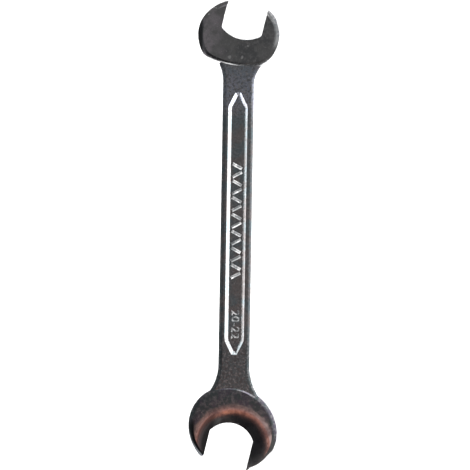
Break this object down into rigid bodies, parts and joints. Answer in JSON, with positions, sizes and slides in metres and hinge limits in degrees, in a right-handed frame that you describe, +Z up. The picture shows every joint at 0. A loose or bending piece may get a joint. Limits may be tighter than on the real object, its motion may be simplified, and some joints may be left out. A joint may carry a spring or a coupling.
{
  "type": "open end wrench",
  "caption": "Forged open end wrench with a smaller and a larger jaw head on a flat shank, each mouth leaning off the shank's line, and a sunk pointed panel.",
  "frame": {"origin": "middle of the wrench's outline, on the surface that it lies on", "axes": "+Y along the shank to the smaller head, +X across the shank, +Z up through the thickness; the smaller mouth leans to +X"},
  "size_m": [0.0446, 0.2352, 0.0088],
  "materials": {
    "satin_chrome": "satin",
    "polished_chrome": "polished"
  },
  "bodies": {
    "root": {"small_head": "satin_chrome", "shank": "satin_chrome", "large_head": "polished_chrome"}
  },
  "joints": []
}
